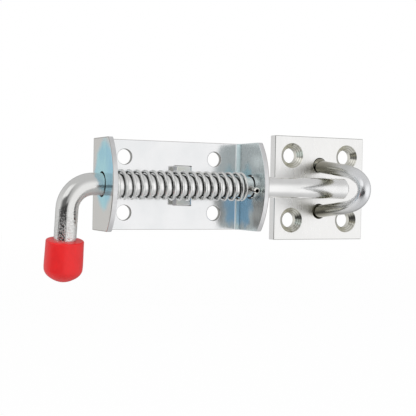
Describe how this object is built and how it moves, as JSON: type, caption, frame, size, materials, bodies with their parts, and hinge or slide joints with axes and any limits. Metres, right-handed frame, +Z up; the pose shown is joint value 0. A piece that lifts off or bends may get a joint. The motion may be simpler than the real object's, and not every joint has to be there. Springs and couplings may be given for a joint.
{
  "type": "spring bolt",
  "caption": "Spring-loaded round bolt with a bent, capped handle in a folded sheet bracket, and a screwed keep plate whose staple catches the bolt's end.",
  "frame": {"origin": "middle of the bracket's back, at the centre of its screw holes", "axes": "+X along the bolt towards the keep, +Y into the surface both plates are screwed to, +Z up"},
  "size_m": [0.2025, 0.0571, 0.0835],
  "materials": {
    "zinc_sheet": "satin",
    "zinc_bar": "satin",
    "red_plastic": "gloss",
    "pin_steel": "satin",
    "spring_wire": "satin",
    "zinc_plate": "satin",
    "staple_bar": "satin"
  },
  "bodies": {
    "frame": {"bracket": "zinc_sheet", "keep_plate": "zinc_plate", "keep_staple": "staple_bar"},
    "slider": {"compression_spring": "spring_wire"},
    "bolt": {"bolt_rod": "zinc_bar", "handle_cap": "red_plastic", "spring_pin": "pin_steel"}
  },
  "joints": [
    {"name": "bolt_slide", "type": "slide", "parent": "frame", "child": "slider", "axis": [-1, 0, 0], "range_m": [0, 0.03], "stiffness_N_per_m": 2100, "springref_m": -0.01, "deforming": ["compression_spring"]},
    {"name": "bolt_turn", "type": "hinge", "parent": "slider", "child": "bolt", "pos_m": [0, -0.018, 0], "axis": [-1, 0, 0], "range_deg": [0, 140]}
  ]
}
